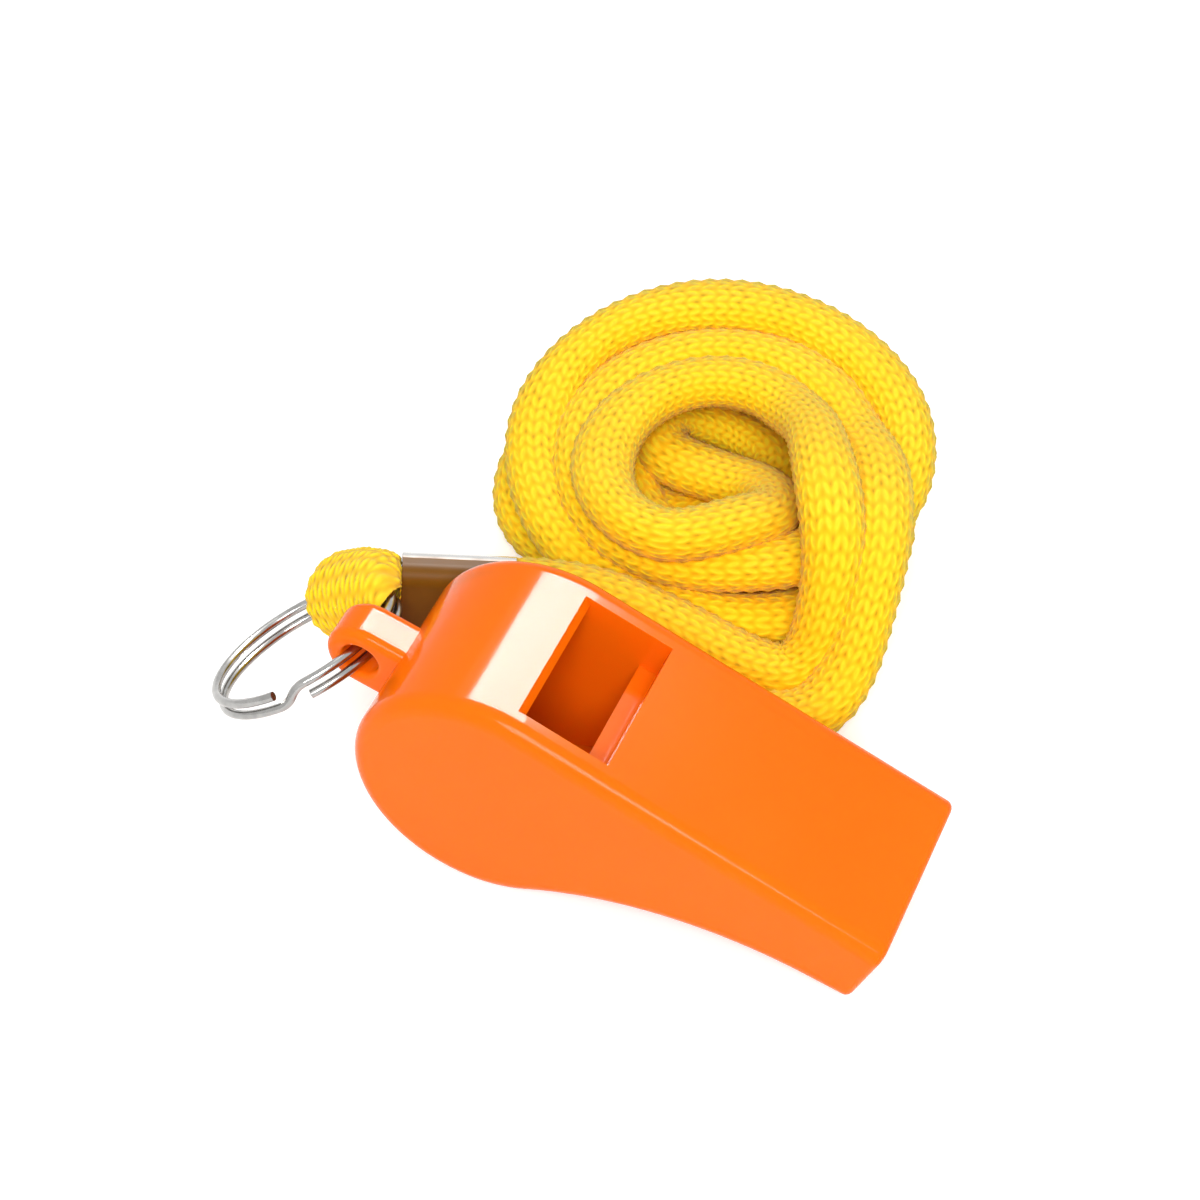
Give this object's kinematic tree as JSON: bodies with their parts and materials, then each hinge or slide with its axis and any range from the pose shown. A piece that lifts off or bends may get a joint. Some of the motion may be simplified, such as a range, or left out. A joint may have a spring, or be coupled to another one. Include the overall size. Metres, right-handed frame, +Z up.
{
  "type": "sports whistle",
  "caption": "Moulded pea whistle with a window behind its flat mouthpiece, a split ring through its lug, and a knitted lanyard crimped to the ring and lying in a loose coil.",
  "frame": {"origin": "on the table, below the middle of the whistle's own box, without the lanyard", "axes": "+X along the whistle towards the mouthpiece, +Y to the side where the lanyard lies, +Z up from the table"},
  "size_m": [0.068, 0.0679, 0.024],
  "materials": {
    "whistle": "smooth glossy moulding",
    "pea": "plain ball of the body's colour",
    "ring": "bright nickel plate",
    "crimp": "nickel plate, toned brown on its faces and rubbed bright along its folds",
    "cord": "knitted"
  },
  "bodies": {
    "lanyard": {"cord_loop": "cord", "crimp": "crimp", "lead_lower": "cord", "lead_upper": "cord", "lanyard_coil": "cord"},
    "ring": {"split_ring": "ring"},
    "whistle": {"body_shell": "whistle", "side_cover": "whistle"},
    "pea": {"pea": "pea"}
  },
  "joints": [
    {"name": "ring_turn", "type": "hinge", "parent": "lanyard", "child": "ring", "pos_m": [-0.03132, 0.0098, 0.01126], "axis": [-0.8548, -0.0159, -0.5187], "range_deg": [0, 60]},
    {"name": "whistle_swing", "type": "hinge", "parent": "ring", "child": "whistle", "pos_m": [-0.02422, 0, 0.01719], "axis": [0, -1, 0], "range_deg": [-20, 100]},
    {"name": "pea_orbit", "type": "hinge", "parent": "whistle", "child": "pea", "pos_m": [-0.0101, 0, 0.012], "axis": [0, 1, 0], "continuous": true}
  ]
}
